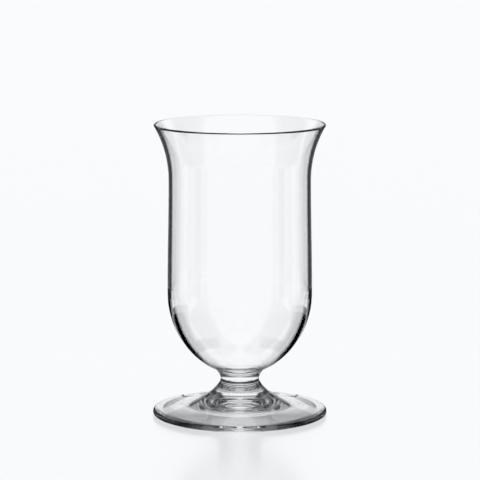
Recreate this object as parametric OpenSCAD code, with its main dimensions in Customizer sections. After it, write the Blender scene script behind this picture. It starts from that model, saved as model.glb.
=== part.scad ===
// Footed spirits glass: a tall blown bowl with a flared lip, a short waisted stem and a disc foot.
// Millimetres, +Z up. The origin is the centre of the foot's resting ring, on the table.

/* [Overall] */
// Height from the table to the top of the rim
overall_height = 115; // [105:0.5:135]

/* [Lip] */
// Outer diameter of the rim at its widest
rim_diameter = 67; // [60:0.5:76]
// Thickness of the rounded lip
lip_thickness = 1.1; // [0.8:0.05:1.6]
// Height of the flare, from the body's waist to the rim
flare_height = 21.8; // [14:0.2:28]

/* [Bowl] */
// Outer diameter of the waist, where the flare starts
waist_diameter = 55.7; // [50:0.1:58]
// Outer diameter of the belly, where the round bottom starts
belly_diameter = 56.8; // [50:0.1:64]
// Depth of the round bottom, from the belly down to its lowest point
bottom_depth = 32.8; // [26:0.2:40]
// Wall thickness at the waist
waist_wall = 1.4; // [0.9:0.05:2]
// Wall thickness at the belly
belly_wall = 1.6; // [1:0.05:2.6]
// Height above the belly at which the round bottom of the inside starts
inside_rise = 2.2; // [0:0.2:6]
// Thickness of the bowl's glass under the lowest point of the inside
base_thickness = 1.2; // [0.8:0.1:4]

/* [Stem] */
// Diameter of the stem at its narrowest
stem_diameter = 15.2; // [12:0.1:18]
// Height of the stem, from the foot's seat to the lowest point of the bowl
stem_height = 6.5; // [5.5:0.1:9]
// Height of the narrowest ring above the foot's seat
stem_waist_rise = 4.3; // [3.6:0.1:5.2]
// Height above the foot's seat from which the stem spreads into the foot
stem_flare_rise = 2.9; // [2:0.1:3.4]
// Diameter of the joint between the stem and the bowl
bowl_joint_diameter = 22.6; // [20:0.2:26]
// Diameter of the joint between the stem and the foot
foot_joint_diameter = 21; // [20:0.2:24]

/* [Foot] */
// Outer diameter of the foot
foot_diameter = 68.5; // [60:0.5:80]
// Height of the foot, from the table to the stem's seat
foot_height = 9.7; // [8:0.1:12]
// Thickness of the rounded edge
edge_thickness = 2.3; // [1.6:0.1:3]
// Fall of the upper face near the edge, in degrees
top_slope = 8.8; // [6:0.2:11]
// Width of the flat ring that the glass rests on
rest_ring_width = 2.7; // [1.5:0.1:5]
// Depth of the hollow under the foot at its centre
hollow_depth = 4.7; // [2:0.1:5.6]
// Diameter at which the hollow's rising side would reach that depth if it rose straight on
hollow_top_diameter = 24; // [10:1:32]

/* [Hidden] */
$fn = 96;
glass = [0.86, 0.91, 0.90, 0.45];

// Straight steps along a strong curve and along a gentle one
fine_steps = 28;
plain_steps = 14;

// Radii of the rings that the pieces pass through
rim_r = rim_diameter / 2;
waist_r = waist_diameter / 2;
belly_r = belly_diameter / 2;
stem_r = stem_diameter / 2;
bowl_joint_r = bowl_joint_diameter / 2;
foot_joint_r = foot_joint_diameter / 2;
foot_r = foot_diameter / 2;
hollow_top_r = hollow_top_diameter / 2;

// Rounds of the lip and of the foot's edge
lip_r = lip_thickness / 2;
edge_r = edge_thickness / 2;
lip_centre = [rim_r - lip_r, overall_height - lip_r];
edge_centre = [foot_r - edge_r, edge_r];

// Levels, from the table up
stem_waist_z = foot_height + stem_waist_rise;
bottom_z = foot_height + stem_height;
belly_z = bottom_z + bottom_depth;
inside_belly_z = belly_z + inside_rise;
inside_depth = inside_belly_z - bottom_z - base_thickness;
waist_z = overall_height - flare_height;

// The round bottom is half of an ellipse, measured by an angle from its lowest point.
// The stem's dished top covers it up to the joint angle.
joint_angle = asin(bowl_joint_r / belly_r);
joint_steepness = bottom_depth / belly_r * tan(joint_angle);

// Points of a circular arc between two angles in degrees
function arc(centre, r, from, to, steps) =
    [for (i = [0:steps])
        let (a = from + (to - from) * i / steps)
        centre + r * [cos(a), sin(a)]];

// Points of a round bottom that hangs below a level, between two angles from its lowest point
function round_bottom(r, level, depth, from, to, steps) =
    [for (i = [0:steps])
        let (a = from + (to - from) * i / steps)
        [r * sin(a), level - depth * cos(a)]];

// Points of a body wall that runs smoothly from its belly radius at a level to its waist radius
function body_wall(at_belly, level, at_waist) =
    [for (i = [0:plain_steps])
        let (t = i / plain_steps)
        [at_belly + (at_waist - at_belly) * (1 - cos(180 * t)) / 2, level + (waist_z - level) * t]];

// Points of a smooth bend from one point to another that leaves and arrives along lines to a corner
function bend(start, corner, end, steps) =
    [for (i = [0:steps])
        let (t = i / steps)
        (1 - t) * (1 - t) * start + 2 * t * (1 - t) * corner + t * t * end];

function reversed(points) = [for (i = [len(points) - 1:-1:0]) points[i]];

// Radius of the flare that starts upright at a waist radius and touches the lip's round,
// on its outer side (side 1) or its inner side (side -1)
function flare_radius(at_waist, side) =
    let (across = lip_centre[0] - at_waist, up = lip_centre[1] - waist_z)
    (across * across + up * up - lip_r * lip_r) / (2 * (across + side * lip_r));

// Angle at the flare's own centre where it touches the lip's round
function flare_end(at_waist, side) =
    atan2(lip_centre[1] - waist_z, lip_centre[0] - at_waist - flare_radius(at_waist, side));

function flare(at_waist, side) =
    let (r = flare_radius(at_waist, side))
    arc([at_waist + r, waist_z], r, 180, flare_end(at_waist, side), fine_steps);

// The part of the bowl's round bottom that the stem holds
joint_cap = round_bottom(belly_r, belly_z, bottom_depth, 0, joint_angle, plain_steps);
joint_ring = joint_cap[plain_steps];

module bowl() {
    inner_belly_r = belly_r - belly_wall;
    inner_waist_r = waist_r - waist_wall;
    lip_from = flare_end(waist_r, 1) - 180;
    lip_to = flare_end(inner_waist_r, -1);
    outside = concat(
        joint_cap,
        round_bottom(belly_r, belly_z, bottom_depth, joint_angle, 90, fine_steps),
        body_wall(belly_r, belly_z, waist_r),
        flare(waist_r, 1));
    inside = concat(
        round_bottom(inner_belly_r, inside_belly_z, inside_depth, 0, 90, fine_steps),
        body_wall(inner_belly_r, inside_belly_z, inner_waist_r),
        flare(inner_waist_r, -1));
    lip = arc(lip_centre, lip_r, lip_from, lip_to, plain_steps);
    color(glass)
        rotate_extrude()
            polygon(concat(outside, lip, reversed(inside)));
}

module stem() {
    waist_ring = [stem_r, stem_waist_z];
    foot_corner = [stem_r, foot_height + stem_flare_rise];
    bowl_corner = [stem_r, joint_ring[1] - joint_steepness * (bowl_joint_r - stem_r)];
    color(glass)
        rotate_extrude()
            polygon(concat(
                [[0, foot_height]],
                bend([foot_joint_r, foot_height], foot_corner, waist_ring, plain_steps),
                bend(waist_ring, bowl_corner, joint_ring, plain_steps),
                reversed(joint_cap)));
}

module foot() {
    rest_edge = [edge_centre[0] - rest_ring_width, 0];
    hollow_top = [0, hollow_depth];
    hollow_corner = [hollow_top_r, hollow_depth];
    edge_top = edge_centre + edge_r * [sin(top_slope), cos(top_slope)];
    // The upper face runs in from the edge at its own slope and meets the line of the stem's flare
    flare_steepness = stem_flare_rise / (foot_joint_r - stem_r);
    edge_line = edge_top[1] + edge_top[0] * tan(top_slope);
    flare_line = foot_height + foot_joint_r * flare_steepness;
    corner_r = (flare_line - edge_line) / (flare_steepness - tan(top_slope));
    top_corner = [corner_r, edge_line - corner_r * tan(top_slope)];
    color(glass)
        rotate_extrude()
            polygon(concat(
                bend(hollow_top, hollow_corner, rest_edge, fine_steps),
                arc(edge_centre, edge_r, -90, 90 - top_slope, plain_steps),
                bend(edge_top, top_corner, [foot_joint_r, foot_height], fine_steps),
                [[0, foot_height]]));
}

bowl();
stem();
foot();
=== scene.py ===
"""Dresses the footed spirits glass: a blown bowl, a short drawn stem and a pressed foot, all of clear glass.

Everything is in metres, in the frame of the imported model: +Z up, with the origin at the centre of the
foot's resting ring. The three pieces are lathed about the Z axis from the outlines of the real glass.
"""

import logging
import math
from dataclasses import dataclass, field
from enum import Enum, IntEnum
from typing import Any

import bmesh
import bpy
from mathutils import Matrix, Vector


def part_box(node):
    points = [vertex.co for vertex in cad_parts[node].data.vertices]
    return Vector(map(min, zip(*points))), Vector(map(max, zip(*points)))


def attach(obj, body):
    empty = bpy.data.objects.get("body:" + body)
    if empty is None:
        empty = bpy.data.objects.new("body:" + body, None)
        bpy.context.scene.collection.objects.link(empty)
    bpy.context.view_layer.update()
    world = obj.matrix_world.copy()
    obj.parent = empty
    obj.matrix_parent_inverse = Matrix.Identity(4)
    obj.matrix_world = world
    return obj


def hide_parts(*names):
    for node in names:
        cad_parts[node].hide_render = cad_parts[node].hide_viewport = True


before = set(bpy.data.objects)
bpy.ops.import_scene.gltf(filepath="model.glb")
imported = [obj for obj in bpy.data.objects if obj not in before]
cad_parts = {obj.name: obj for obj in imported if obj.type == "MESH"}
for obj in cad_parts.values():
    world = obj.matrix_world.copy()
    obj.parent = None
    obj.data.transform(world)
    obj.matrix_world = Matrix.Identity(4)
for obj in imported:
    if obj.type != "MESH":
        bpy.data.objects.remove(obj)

LOG = logging.getLogger("spirits_glass")
MM = 0.001
BODY = "root"

# Faces round a quarter of a lathed piece, and the distance under which its points are one
QUARTER_TURNS = 48
WELD = 1e-7
# Slit that keeps the two faces of a fused joint apart
JOINT_SLIT = 0.01 * MM
# Straight steps along the outlines
LIP_STEPS = 20
STEM_STEPS = 48
HOLLOW_STEPS = 60
EDGE_STEPS = 32
FOOT_TOP_STEPS = 80
# How often light may be turned in the glass, and how often it may pass a card or a fused joint
GLASS_BOUNCES = 32
PASSING_BOUNCES = 64


class Skin(IntEnum):
    """Material slots of a lathed piece."""

    POLISHED = 0
    FUSED = 1


Outline = list[Vector]


def point(radius: float, height: float) -> Vector:
    """Returns a point of an outline."""
    return Vector((radius, 0, height))


def arc(centre: Vector, radius: float, start: float, end: float, steps: int) -> Outline:
    """Points of a circular arc.

    Args:
        centre: Centre of the arc.
        radius: Radius of the arc.
        start: First angle in degrees, counted from the outward direction towards +Z.
        end: Last angle in degrees.
        steps: Number of straight steps.

    Returns:
        The points from the first angle to the last.
    """
    angles = (math.radians(start + (end - start) * i / steps) for i in range(steps + 1))
    return [centre + radius * point(math.cos(a), math.sin(a)) for a in angles]


def bend(start: Vector, corner: Vector, end: Vector, steps: int) -> Outline:
    """Points of a smooth bend that leaves and arrives along lines to a corner.

    Args:
        start: First point.
        corner: Where the lines along which the bend leaves and arrives meet.
        end: Last point.
        steps: Number of straight steps.

    Returns:
        The points from start to end.
    """
    shares = (i / steps for i in range(steps + 1))
    return [(1 - t) ** 2 * start + 2 * t * (1 - t) * corner + t**2 * end for t in shares]


class Lathe:
    """Turns outlines about the Z axis into one closed mesh: a quarter is spun, then mirrored twice."""

    def __init__(self) -> None:
        """Starts with an empty mesh."""
        self.mesh = bmesh.new()

    def turn(self, outline: Outline, skin: Skin) -> None:
        """Spins an outline into a quarter of a surface.

        Args:
            outline: Points of the outline, in order.
            skin: Material slot of the surface.
        """
        before = set(self.mesh.faces)
        points = [self.mesh.verts.new(p) for p in outline]
        lines = [self.mesh.edges.new(pair) for pair in zip(points, points[1:])]
        bmesh.ops.spin(
            self.mesh,
            geom=points + lines,
            cent=(0, 0, 0),
            axis=(0, 0, 1),
            angle=math.pi / 2,
            steps=QUARTER_TURNS,
        )
        for face in self.mesh.faces:
            if face not in before:
                face.material_index = skin

    def finish(self, name: str, materials: list[bpy.types.Material]) -> bpy.types.Object:
        """Mirrors and welds the surfaces, turns their faces outwards and links the piece to the scene.

        Args:
            name: Name of the piece.
            materials: One material for each Skin.

        Returns:
            The new object, at the origin.
        """
        mesh = self.mesh
        for axis in "XY":
            geometry = mesh.verts[:] + mesh.edges[:] + mesh.faces[:]
            bmesh.ops.mirror(mesh, geom=geometry, matrix=Matrix.Identity(4), merge_dist=WELD, axis=axis)
        bmesh.ops.remove_doubles(mesh, verts=mesh.verts, dist=WELD)
        bmesh.ops.dissolve_degenerate(mesh, edges=mesh.edges, dist=WELD)
        bmesh.ops.recalc_face_normals(mesh, faces=mesh.faces)
        for face in mesh.faces:
            face.smooth = True
        for edge in mesh.edges:
            edge.smooth = len({face.material_index for face in edge.link_faces}) == 1
        data = bpy.data.meshes.new(name)
        mesh.to_mesh(data)
        mesh.free()
        for material in materials:
            data.materials.append(material)
        piece = bpy.data.objects.new(name, data)
        bpy.context.collection.objects.link(piece)
        return piece


class Value:
    """A shader socket with Python's operators, which add Math nodes."""

    def __init__(self, shader: "Shader", socket: bpy.types.NodeSocket) -> None:
        """Wraps an output socket of a shader's tree."""
        self.shader = shader
        self.socket = socket

    def __add__(self, other: Any) -> "Value":
        """Returns self + other."""
        return self.shader.math("ADD", self, other)

    def __sub__(self, other: Any) -> "Value":
        """Returns self - other."""
        return self.shader.math("SUBTRACT", self, other)

    def __mul__(self, other: Any) -> "Value":
        """Returns self * other."""
        return self.shader.math("MULTIPLY", self, other)

    def __gt__(self, other: Any) -> "Value":
        """Returns 1 where self > other, and 0 elsewhere."""
        return self.shader.math("GREATER_THAN", self, other)

    def __lt__(self, other: Any) -> "Value":
        """Returns 1 where self < other, and 0 elsewhere."""
        return self.shader.math("LESS_THAN", self, other)

    __radd__ = __add__
    __rmul__ = __mul__


class Shader:
    """Builds the node tree of one material."""

    def __init__(self, name: str) -> None:
        """Starts a material with nothing but its output."""
        self.material = bpy.data.materials.new(name)
        self.material.use_nodes = True
        self.tree = self.material.node_tree
        self.tree.nodes.clear()

    def node(self, kind: str, settings: dict[str, Any], inputs: dict[Any, Any], output: Any = 0) -> Value:
        """Adds a node.

        Args:
            kind: Type of the node.
            settings: Properties of the node, set before its sockets.
            inputs: Values or links of its sockets, by name or number.
            output: Name or number of the output that is wanted.

        Returns:
            That output, wrapped.
        """
        node = self.tree.nodes.new(kind)
        for name, setting in settings.items():
            setattr(node, name, setting)
        for name, value in inputs.items():
            if isinstance(value, Value):
                self.tree.links.new(value.socket, node.inputs[name])
            else:
                node.inputs[name].default_value = value
        return Value(self, node.outputs[output] if node.outputs else None)

    def math(self, operation: str, *values: Any) -> Value:
        """Returns the result of a Math node on the given values."""
        return self.node("ShaderNodeMath", {"operation": operation}, dict(enumerate(values)))

    def fade(self, value: Value, start: float, end: float) -> Value:
        """Returns 0 up to the start and 1 from the end, with a smooth change between them."""
        ends = {"Value": value, "From Min": start, "From Max": end}
        return self.node("ShaderNodeMapRange", {"interpolation_type": "SMOOTHSTEP"}, ends)

    def surface(self, shader: Value) -> bpy.types.Material:
        """Links a shader to the material's surface and returns the material."""
        self.node("ShaderNodeOutputMaterial", {}, {"Surface": shader})
        return self.material


@dataclass(frozen=True)
class ClearGlass:
    """Finish of a piece of clear glass, with the faint waviness of how it was worked.

    Attributes:
        name: Name of the material.
        wave_scale: How many waves of the surface there are in a metre, across and upwards.
        wave_depth: Depth of those waves.
        index: Refractive index of the glass.
        tint: Colour that the glass gives to what is seen through it.
        haze: Roughness of the clearest and of the dullest parts of the surface.
    """

    name: str
    wave_scale: tuple[float, float, float]
    wave_depth: float
    index: float = 1.53
    tint: tuple[float, float, float, float] = (0.994, 0.997, 0.996, 1)
    haze: tuple[float, float] = (0.0, 0.003)

    def material(self) -> bpy.types.Material:
        """Returns the material of this finish."""
        shader = Shader(self.name)
        place = shader.node("ShaderNodeTexCoord", {}, {}, "Object")
        stretched = shader.node("ShaderNodeMapping", {}, {"Vector": place, "Scale": self.wave_scale})
        waves = shader.node("ShaderNodeTexNoise", {}, {"Vector": stretched, "Scale": 1.0, "Detail": 2.0})
        normal = shader.node(
            "ShaderNodeBump", {}, {"Height": waves, "Strength": 1.0, "Distance": self.wave_depth}
        )
        low, high = self.haze
        roughness = low + (high - low) * waves
        return shader.surface(
            shader.node(
                "ShaderNodeBsdfPrincipled",
                {},
                {
                    "Base Color": self.tint,
                    "Roughness": roughness,
                    "IOR": self.index,
                    "Transmission Weight": 1.0,
                    "Normal": normal,
                },
            )
        )


@dataclass(frozen=True)
class FusedJoint:
    """The face of a hot joint: the glass runs through it without a break, so light does too."""

    name: str = "fused_joint"

    def material(self) -> bpy.types.Material:
        """Returns the material of this face."""
        shader = Shader(self.name)
        return shader.surface(shader.node("ShaderNodeBsdfTransparent", {}, {}))


@dataclass
class Bowl:
    """The blown bowl: round bottom, nearly straight body and a flared lip with a polished rim.

    Attributes:
        finish: Glass that it is made of.
        joint: Material of its fused faces.
        rim_radius: Outer radius of the rim.
        rim_height: Height of the top of the rim.
        bottom_height: Height of the lowest point of the round bottom.
        joint_radius: Radius of the ring where the stem takes hold.
        lip_thickness: Thickness of the rounded lip.
        flare_height: Height of the flare, from the waist to the rim.
        waist_radius: Outer radius of the waist.
        belly_radius: Outer radius of the belly.
        bottom_depth: Depth of the round bottom, from the belly down.
        waist_wall: Wall thickness at the waist.
        belly_wall: Wall thickness at the belly.
        inside_rise: Height above the belly at which the round bottom of the inside starts.
        base_thickness: Thickness of the bowl's glass under the lowest point of the inside.
    """

    finish: ClearGlass
    joint: bpy.types.Material
    rim_radius: float
    rim_height: float
    bottom_height: float
    joint_radius: float
    lip_thickness: float = 1.1 * MM
    flare_height: float = 21.8 * MM
    waist_radius: float = 27.85 * MM
    belly_radius: float = 28.4 * MM
    bottom_depth: float = 32.8 * MM
    waist_wall: float = 1.4 * MM
    belly_wall: float = 1.6 * MM
    inside_rise: float = 2.2 * MM
    base_thickness: float = 1.2 * MM

    @property
    def belly(self) -> Vector:
        """Point of the belly's ring."""
        return point(self.belly_radius, self.bottom_height + self.bottom_depth)

    @property
    def waist_height(self) -> float:
        """Height of the waist, where the flare starts."""
        return self.rim_height - self.flare_height

    @property
    def joint_angle(self) -> float:
        """Angle on the round bottom, from its lowest point, where the stem's hold ends."""
        return math.degrees(math.asin(self.joint_radius / self.belly_radius))

    @property
    def lip_centre(self) -> Vector:
        """Centre of the lip's round."""
        half = self.lip_thickness / 2
        return point(self.rim_radius - half, self.rim_height - half)

    def round_bottom(self, belly: Vector, start: float, end: float, lift: float = 0.0) -> Outline:
        """Points of a round bottom, which is half of an ellipse.

        Args:
            belly: Ring from which it hangs.
            start: First angle in degrees from the lowest point.
            end: Last angle.
            lift: Height of its lowest point above the lowest point of the bowl.

        Returns:
            The points from the first angle to the last.
        """
        depth = belly.z - self.bottom_height - lift
        steps = math.ceil(end - start)
        angles = (math.radians(start + (end - start) * i / steps) for i in range(steps + 1))
        return [point(belly.x * math.sin(a), belly.z - depth * math.cos(a)) for a in angles]

    def body_wall(self, belly: Vector, at_waist: float, steps: int = 40) -> Outline:
        """Points of a body wall, which runs smoothly from one radius to another.

        Args:
            belly: Ring at which it starts.
            at_waist: Radius at the waist.
            steps: Number of straight steps.

        Returns:
            The points from the belly to the waist.
        """
        shares = (i / steps for i in range(steps + 1))
        rise = self.waist_height - belly.z
        swell = at_waist - belly.x
        return [
            point(belly.x + swell * (1 - math.cos(math.pi * t)) / 2, belly.z + rise * t) for t in shares
        ]

    def flare(self, at_waist: float, side: int, steps: int = 48) -> tuple[Outline, float]:
        """Points of the flare, an arc that leaves the waist upright and touches the lip's round.

        Args:
            at_waist: Radius at the waist.
            side: 1 for the outer side of the wall, -1 for the inner side.
            steps: Number of straight steps.

        Returns:
            The points from the waist to the lip, and the last angle at the arc's centre.
        """
        half = self.lip_thickness / 2
        across = self.lip_centre.x - at_waist
        up = self.lip_centre.z - self.waist_height
        radius = (across**2 + up**2 - half**2) / (2 * (across + side * half))
        end = math.degrees(math.atan2(up, across - radius))
        return arc(point(at_waist + radius, self.waist_height), radius, 180, end, steps), end

    def joint_cap(self) -> Outline:
        """Points of the part of the round bottom that the stem holds, from the axis outwards."""
        return self.round_bottom(self.belly, 0, self.joint_angle)

    def build(self) -> bpy.types.Object:
        """Lathes the bowl and returns it, dressed."""
        inner_belly = self.belly + point(-self.belly_wall, self.inside_rise)
        inner_waist = self.waist_radius - self.waist_wall
        outer_flare, outer_end = self.flare(self.waist_radius, 1)
        inner_flare, inner_end = self.flare(inner_waist, -1)
        half = self.lip_thickness / 2
        outside = (
            self.round_bottom(self.belly, self.joint_angle, 90)
            + self.body_wall(self.belly, self.waist_radius)[1:]
            + outer_flare[1:]
            + arc(self.lip_centre, half, outer_end - 180, inner_end, LIP_STEPS)[1:]
        )
        inside = (
            self.round_bottom(inner_belly, 0, 90, self.base_thickness)
            + self.body_wall(inner_belly, inner_waist)[1:]
            + inner_flare[1:]
        )
        lathe = Lathe()
        lathe.turn(self.joint_cap(), Skin.FUSED)
        lathe.turn(outside, Skin.POLISHED)
        lathe.turn(inside, Skin.POLISHED)
        return lathe.finish("blown_bowl", [self.finish.material(), self.joint])


@dataclass
class Stem:
    """The short solid stem, drawn to a waist between the bowl and the foot.

    Attributes:
        finish: Glass that it is made of.
        bowl: The bowl that it holds.
        foot_height: Height of the foot's seat.
        foot_joint_radius: Radius of the joint with the foot.
        radius: Radius at the narrowest ring.
        waist_rise: Height of that ring above the foot's seat.
        flare_rise: Height above the foot's seat from which the stem spreads into the foot.
    """

    finish: ClearGlass
    bowl: Bowl
    foot_height: float
    foot_joint_radius: float = 10.5 * MM
    radius: float = 7.6 * MM
    waist_rise: float = 4.3 * MM
    flare_rise: float = 2.9 * MM

    def build(self) -> bpy.types.Object:
        """Lathes the stem and returns it, dressed."""
        bowl = self.bowl
        slit = point(0, JOINT_SLIT)
        cap = [p - slit for p in bowl.joint_cap()]
        ring = cap[-1]
        steepness = bowl.bottom_depth / bowl.belly_radius * math.tan(math.radians(bowl.joint_angle))
        waist = point(self.radius, self.foot_height + self.waist_rise)
        bowl_corner = point(self.radius, ring.z - steepness * (ring.x - self.radius))
        foot_corner = point(self.radius, self.foot_height + self.flare_rise)
        seat = point(self.foot_joint_radius, self.foot_height) + slit
        lower_side = bend(seat, foot_corner, waist, STEM_STEPS)
        upper_side = bend(waist, bowl_corner, ring, STEM_STEPS)
        lathe = Lathe()
        lathe.turn([point(0, seat.z), seat], Skin.FUSED)
        lathe.turn(lower_side + upper_side[1:], Skin.POLISHED)
        lathe.turn(cap, Skin.FUSED)
        return lathe.finish("drawn_stem", [self.finish.material(), bowl.joint])


@dataclass
class Foot:
    """The pressed foot: a disc with a rounded edge that rises to the stem, hollow underneath.

    Attributes:
        finish: Glass that it is made of.
        radius: Outer radius.
        height: Height of the stem's seat.
        stem: The stem that stands on it.
        edge_thickness: Thickness of the rounded edge.
        top_slope: Fall of the upper face near the edge, in degrees.
        rest_width: Width of the ring that it rests on.
        hollow_depth: Depth of the hollow underneath, at its centre.
        hollow_top_radius: Where the hollow's rising side would reach that depth if it rose straight on.
    """

    finish: ClearGlass
    radius: float
    height: float
    stem: Stem
    edge_thickness: float = 2.3 * MM
    top_slope: float = 8.8
    rest_width: float = 2.7 * MM
    hollow_depth: float = 4.7 * MM
    hollow_top_radius: float = 12.0 * MM

    def build(self) -> bpy.types.Object:
        """Lathes the foot and returns it, dressed."""
        half = self.edge_thickness / 2
        edge = point(self.radius - half, half)
        rest = point(edge.x - self.rest_width, 0)
        hollow = [point(radius, self.hollow_depth) for radius in (0, self.hollow_top_radius)]
        slope = math.radians(self.top_slope)
        fall = math.tan(slope)
        edge_top = edge + half * point(math.sin(slope), math.cos(slope))
        seat = point(self.stem.foot_joint_radius, self.height)
        steepness = self.stem.flare_rise / (seat.x - self.stem.radius)
        edge_line = edge_top.z + edge_top.x * fall
        corner_radius = (seat.z + seat.x * steepness - edge_line) / (steepness - fall)
        corner = point(corner_radius, edge_line - corner_radius * fall)
        skin = (
            bend(*hollow, rest, HOLLOW_STEPS)
            + arc(edge, half, -90, 90 - self.top_slope, EDGE_STEPS)
            + bend(edge_top, corner, seat, FOOT_TOP_STEPS)[1:]
        )
        lathe = Lathe()
        lathe.turn(skin, Skin.POLISHED)
        lathe.turn([seat, point(0, seat.z)], Skin.FUSED)
        return lathe.finish("pressed_foot", [self.finish.material(), self.stem.bowl.joint])


class Path(Enum):
    """How light comes from a card to the eye, by way of the glass."""

    SOLID = "straight through solid glass"
    FIRST = "off one face of the glass"
    DEEP = "off more faces than one"


# Radius and height of one edge of a card
Edge = tuple[float, float]
# Angle of the place straight in front of the glass, counted from straight behind it
IN_FRONT = 180.0
# Distance between one card and the next in the stack
CARD_GAP = 0.0005 * MM
# Bounds between whole counts: none, one at most, and fewer faces than the four of the hollow bowl
NO_TURN = 0.5
ONE_TURN = 1.5
SOLID_FACES = 3.5


@dataclass(frozen=True)
class Card:
    """A pair of cards of painted shade or painted highlight, left and right of the glass, that show only in
    it.

    No real card is like this: each one is painted shade or a painted highlight that shows only to light on
    its own path through the glass and lights no surface. Light that passes straight through the hollow bowl,
    or comes off the floor, passes the cards too, so they paint the glass's edges, dark and bright, and leave
    the rest of it clear.

    Attributes:
        name: Name of the card.
        path: By which way its light comes to the eye.
        start: First angle in degrees from straight behind the glass.
        end: Last angle.
        level: How bright the card's painted shade or painted highlight is, against the pale surroundings.
        edges: Radius and height of its edge nearer to the glass's foot, and of the other edge.
        soft_turn: Degrees over which it fades at its first and last angle.
        soft_edges: Shares of its width over which it fades at its two edges.
    """

    name: str
    path: Path
    start: float
    end: float
    level: float
    edges: tuple[Edge, Edge]
    soft_turn: float = 0.0
    soft_edges: tuple[float, float] = (0.0, 0.0)

    def seen(self, shader: Shader) -> Value:
        """Returns 1 for light on this card's path, and 0 for any other."""

        def count(name: str) -> Value:
            """Returns one of the facts about the light's path."""
            return shader.node("ShaderNodeLightPath", {}, {}, name)

        reflected = count("Glossy Depth")
        off_glass = count("Is Singular Ray") * (count("Diffuse Depth") < NO_TURN)
        match self.path:
            case Path.SOLID:
                return (reflected < NO_TURN) * (count("Transmission Depth") < SOLID_FACES) * off_glass
            case Path.FIRST:
                return (reflected > NO_TURN) * (reflected < ONE_TURN) * off_glass
            case Path.DEEP:
                return (reflected > ONE_TURN) * off_glass

    def fades(self, shader: Shader) -> list[Value]:
        """Returns a fade for each soft edge of the card: 1, falling to 0 at that edge."""
        place = shader.node("ShaderNodeTexCoord", {}, {}, "Object")
        parts = {"Vector": place}
        side, back, height = (shader.node("ShaderNodeSeparateXYZ", {}, parts, i) for i in range(3))
        level_place = shader.node("ShaderNodeVectorMath", {"operation": "MULTIPLY"}, {0: place, 1: (1, 1, 0)})
        radius = shader.node("ShaderNodeVectorMath", {"operation": "LENGTH"}, {0: level_place}, "Value")
        angle = shader.math("ARCTAN2", shader.math("ABSOLUTE", side), back) * math.degrees(1)
        (near_radius, near_height), (far_radius, far_height) = self.edges
        out = far_radius - near_radius
        rise = far_height - near_height
        width = out**2 + rise**2
        along = (radius - near_radius) * (out / width) + (height - near_height) * (rise / width)
        near_soft, far_soft = self.soft_edges
        fades = []
        if self.soft_turn and self.start > 0:
            fades.append(shader.fade(angle, self.start, self.start + self.soft_turn))
        if self.soft_turn and self.end < IN_FRONT:
            fades.append(shader.fade(angle, self.end, self.end - self.soft_turn))
        if near_soft:
            fades.append(shader.fade(along, 0, near_soft))
        if far_soft:
            fades.append(shader.fade(along, 1, 1 - far_soft))
        return fades

    def material(self, colour: tuple[float, float, float]) -> bpy.types.Material:
        """Returns the card's material, for surroundings of the given colour."""
        shader = Shader(self.name)
        # The card's painted shade or painted highlight, at its level against the pale surroundings
        glow = shader.node("ShaderNodeEmission", {}, {"Color": (*colour, 1), "Strength": self.level})
        through = shader.node("ShaderNodeBsdfTransparent", {}, {})
        seen = self.seen(shader)
        for fade in self.fades(shader):
            seen = seen * fade
        shader.material.cycles.emission_sampling = "NONE"
        return shader.surface(shader.node("ShaderNodeMixShader", {}, {0: seen, 1: through, 2: glow}))

    def build(self, colour: tuple[float, float, float], layer: int) -> bpy.types.Object:
        """Stands the pair of cards and returns it.

        Args:
            colour: Colour of the surroundings.
            layer: Its place in the stack of cards, which lie a hair apart so that light meets each of them.

        Returns:
            The cards, as one object.
        """
        mesh = bmesh.new()
        first = math.radians(self.start)
        outwards = Vector((math.sin(first), math.cos(first), 0))
        near, far = (Vector(edge) for edge in self.edges)
        along = (far - near).normalized()
        shift = Vector((along.y, -along.x)) * layer * CARD_GAP
        posts = [mesh.verts.new(outwards * edge.x + point(0, edge.y)) for edge in (near + shift, far + shift)]
        post = mesh.edges.new(posts)
        # One face for each degree keeps the cards of the stack parallel, so that none crosses another
        turn = self.end - self.start
        bmesh.ops.spin(
            mesh,
            geom=posts + [post],
            cent=(0, 0, 0),
            axis=(0, 0, 1),
            angle=-math.radians(turn),
            steps=round(turn),
        )
        geometry = mesh.verts[:] + mesh.edges[:] + mesh.faces[:]
        bmesh.ops.mirror(mesh, geom=geometry, matrix=Matrix.Identity(4), merge_dist=WELD, axis="X")
        data = bpy.data.meshes.new(self.name)
        mesh.to_mesh(data)
        mesh.free()
        data.materials.append(self.material(colour))
        card = bpy.data.objects.new(self.name, data)
        bpy.context.collection.objects.link(card)
        card.visible_camera = False
        card.visible_diffuse = False
        card.visible_shadow = False
        return card


# Heights of the cards on the floor round the foot and under it, both between the foot and the floor
CARD_LIFT = -0.01 * MM
UNDER_LIFT = -0.02 * MM
# Distance of the standing cards from the glass's axis, and height of the cards overhead
ROUND = 240 * MM
HIGH = 290 * MM
# Radius of the hole in the middle of the cards overhead
TOP_HOLE = 1 * MM
# Radius in millimetres, just inside the foot's edge, where the cards under it and round it meet
MEET = 33.9


def under(start: float, end: float) -> tuple[Edge, Edge]:
    """Edges of a ring on the floor under the foot, by its radii in millimetres."""
    return (start * MM, UNDER_LIFT), (end * MM, UNDER_LIFT)


def lying(start: float, end: float) -> tuple[Edge, Edge]:
    """Edges of a ring that lies round the foot, by its radii in millimetres."""
    return (start * MM, CARD_LIFT), (end * MM, CARD_LIFT)


def standing(start: float, end: float) -> tuple[Edge, Edge]:
    """Edges of a card that stands round the glass, by its heights in millimetres."""
    return (ROUND, start * MM), (ROUND, end * MM)


OVERHEAD = (ROUND, HIGH), (TOP_HOLE, HIGH)


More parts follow.
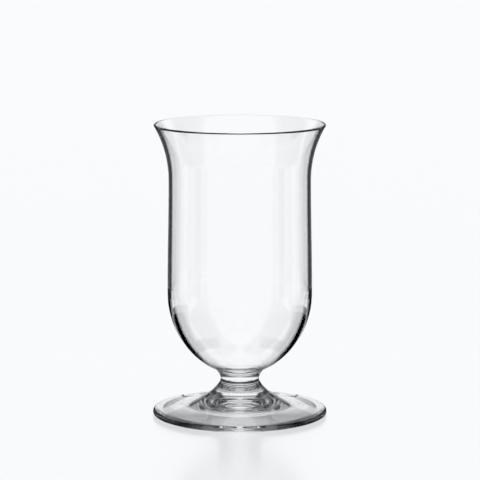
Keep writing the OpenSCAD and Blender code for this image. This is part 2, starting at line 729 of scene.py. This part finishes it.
@dataclass
class Studio:
    """The pale floor, the soft light all round and the cards that paint shade and highlights into the glass's
    edges.

    Attributes:
        colour: Colour of the surroundings, as light.
        floor_size: Side of the floor.
        floor_drop: Depth of the floor below the foot's resting ring.
        floor_gloss: Roughness of the floor's sheen.
        cards: Cards of painted shade and painted highlights on both sides of the glass, each one in front of
            those that follow it.
    """

    colour: tuple[float, float, float] = (0.9473, 0.956, 0.9735)
    floor_size: float = 40.0
    floor_drop: float = 0.05 * MM
    floor_gloss: float = 0.2
    cards: list[Card] = field(
        default_factory=lambda: [
            # Painted shade and painted highlights: each card shows only in the glass, on one path. Cards
            # darker than the surroundings stand in for the shade at the glass's edges, and the strip and the
            # window, brighter, for its bright stripes and highlights
            Card("deep_slot", Path.DEEP, 0, 6, 0.9, standing(0, 290), 3),
            # Painted shade on the floor under the foot, seen only through the glass
            Card("deep_under_back", Path.DEEP, 0, 12, 0.5, under(8, 28), 6, (0.15, 0.15)),
            Card("deep_floor", Path.DEEP, 0, 180, 0.0, lying(MEET, 60), 0, (0, 0.3)),
            Card("deep_far_floor", Path.DEEP, 14, 180, 0.0, lying(60, 240), 6),
            Card("deep_shade", Path.DEEP, 50, 110, 0.5, standing(0, 85), 10, (0, 0.15)),
            Card("deep_sides", Path.DEEP, 16, 180, 0.0, standing(0, 290), 6),
            Card("deep_back", Path.DEEP, 0, 20, 0.0, standing(0, 130), 4, (0, 0.2)),
            Card("painted_highlight_window", Path.DEEP, 0, 20, 1.3, standing(115, 290), 5, (0.2, 0)),
            Card("deep_top", Path.DEEP, 25, 155, 0.0, OVERHEAD, 10),
            # Painted shade on the floor under the foot and under its edge, seen only through the glass
            Card("deep_under", Path.DEEP, 0, 180, 0.15, under(8, 28), 0, (0.15, 0.15)),
            Card("deep_lip", Path.DEEP, 0, 180, 0.0, under(26, MEET), 0, (0.2, 0)),
            Card("near_ring", Path.FIRST, 10, 150, 0.0, lying(MEET, 50), 15),
            Card("close_flag", Path.FIRST, 22, 96, 0.0, lying(48, 138), 10),
            Card("close_shade", Path.FIRST, 88, 150, 0.8, lying(48, 138), 10, (0, 0.4)),
            Card("far_flag", Path.FIRST, 0, 44, 0.0, lying(138, 240), 10),
            Card("back_flag", Path.FIRST, 0, 22, 0.4, standing(85, 182), 6, (0.1, 0.15)),
            Card("flag", Path.FIRST, 16, 48, 0.06, standing(0, 190), 5, (0, 0.2)),
            Card("flag_edge", Path.FIRST, 46, 61, 0.37, standing(0, 90), 3, (0, 0.12)),
            Card("shade", Path.FIRST, 60, 74, 0.75, standing(0, 90), 0, (0, 0.12)),
            Card("painted_highlight_strip", Path.FIRST, 74, 92, 1.15, standing(0, 90), 0, (0, 0.12)),
            Card("gobo", Path.FIRST, 92, 118, 0.55, standing(0, 90), 0, (0, 0.12)),
            Card("high_flag", Path.FIRST, 46, 122, 0.08, standing(80, 290), 20, (0.06, 0)),
            Card("top_flag", Path.FIRST, 24, 122, 0.08, OVERHEAD, 25),
            # Painted shade on the floor under the foot, darker in some sectors than in others, seen only
            # through the glass
            Card("first_under", Path.FIRST, 0, 110, 0.0, under(5, 22), 40, (0.06, 0.1)),
            Card("first_rim", Path.FIRST, 0, 110, 0.38, under(20, MEET), 40, (0.15, 0)),
            Card("under_side", Path.SOLID, 0, 135, 0.78, under(12, MEET), 50, (0.15, 0)),
            Card("under_middle", Path.SOLID, 135, 180, 0.58, under(12, MEET), 40, (0.15, 0)),
            Card("under_front", Path.SOLID, 70, 180, 0.38, under(12, 30), 15, (0.15, 0.1)),
            Card("under_edge", Path.SOLID, 70, 180, 0.0, under(28, MEET), 15, (0.2, 0)),
        ]
    )

    def light(self) -> None:
        """Fills the world with even, pale light."""
        world = bpy.data.worlds.new("studio")
        world.use_nodes = True
        world.node_tree.nodes["Background"].inputs["Color"].default_value = (*self.colour, 1)
        bpy.context.scene.world = world

    def floor(self) -> bpy.types.Object:
        """Lays the floor and returns it."""
        mesh = bmesh.new()
        tiles = round(self.floor_size)
        bmesh.ops.create_grid(mesh, x_segments=tiles, y_segments=tiles, size=self.floor_size / 2)
        bmesh.ops.translate(mesh, verts=mesh.verts, vec=(0, 0, -self.floor_drop))
        data = bpy.data.meshes.new("floor")
        mesh.to_mesh(data)
        mesh.free()
        shader = Shader("pale_floor")
        white = {"Base Color": (1, 1, 1, 1), "Roughness": self.floor_gloss}
        data.materials.append(shader.surface(shader.node("ShaderNodeBsdfPrincipled", {}, white)))
        floor = bpy.data.objects.new("floor", data)
        bpy.context.collection.objects.link(floor)
        return floor

    def build(self) -> None:
        """Sets up the whole studio."""
        self.light()
        self.floor()
        for layer, card in enumerate(self.cards):
            card.build(self.colour, layer)


@dataclass(frozen=True)
class PhotoCamera:
    """The photograph's camera.

    Attributes:
        distance: Distance from the glass's axis, along the floor.
        height: Height above the floor.
        aside: Distance to the right of the glass's axis.
        tilt: Downward tilt in degrees.
        lens: Focal length in millimetres.
        sensor: Width of the sensor in millimetres.
    """

    distance: float = 995.8 * MM
    height: float = 225.6 * MM
    aside: float = 0.08 * MM
    tilt: float = 8.924
    lens: float = 193.28
    sensor: float = 36.0

    def build(self) -> bpy.types.Object:
        """Makes it the scene's camera and returns it."""
        data = bpy.data.cameras.new("camera")
        data.sensor_width = self.sensor
        data.lens = self.lens
        camera = bpy.data.objects.new("camera", data)
        camera.location = (self.aside, -self.distance, self.height)
        camera.rotation_euler = (math.radians(90 - self.tilt), 0, 0)
        bpy.context.collection.objects.link(camera)
        bpy.context.scene.camera = camera
        return camera


def let_light_through() -> None:
    """Lets light turn often enough to pass the solid stem and foot, and shows its levels as they are."""
    cycles = bpy.context.scene.cycles
    cycles.max_bounces = GLASS_BOUNCES
    cycles.transmission_bounces = GLASS_BOUNCES
    cycles.glossy_bounces = GLASS_BOUNCES
    cycles.transparent_max_bounces = PASSING_BOUNCES
    bpy.context.scene.view_settings.view_transform = "Standard"


def pass_daylight(piece: bpy.types.Object) -> None:
    """Lets all of the soft light reach the floor through a piece, so that the glass casts no shadow."""
    piece.visible_diffuse = False
    piece.visible_shadow = False


def main() -> None:
    """Builds the glass, dresses it and sets up the studio."""
    logging.basicConfig(level=logging.INFO, format="%(name)s: %(message)s")
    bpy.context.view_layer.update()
    bowl_low, bowl_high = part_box("bowl")
    _, stem_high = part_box("stem")
    _, foot_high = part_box("foot")
    blown = ClearGlass("blown_glass", wave_scale=(25, 25, 60), wave_depth=0.002 * MM)
    drawn = ClearGlass("drawn_glass", wave_scale=(60, 60, 90), wave_depth=0.002 * MM)
    pressed = ClearGlass("pressed_glass", wave_scale=(60, 60, 60), wave_depth=0.004 * MM)
    bowl = Bowl(blown, FusedJoint().material(), bowl_high.x, bowl_high.z, bowl_low.z, stem_high.x)
    stem = Stem(drawn, bowl, foot_high.z)
    foot = Foot(pressed, foot_high.x, foot_high.z, stem)
    for part, node in ((bowl, "bowl"), (stem, "stem"), (foot, "foot")):
        piece = part.build()
        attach(piece, BODY)
        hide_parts(node)
        pass_daylight(piece)
        LOG.info("%s stands for %s, with %d faces", piece.name, node, len(piece.data.polygons))
    PhotoCamera().build()
    Studio().build()
    let_light_through()


if __name__ == "__main__":
    main()
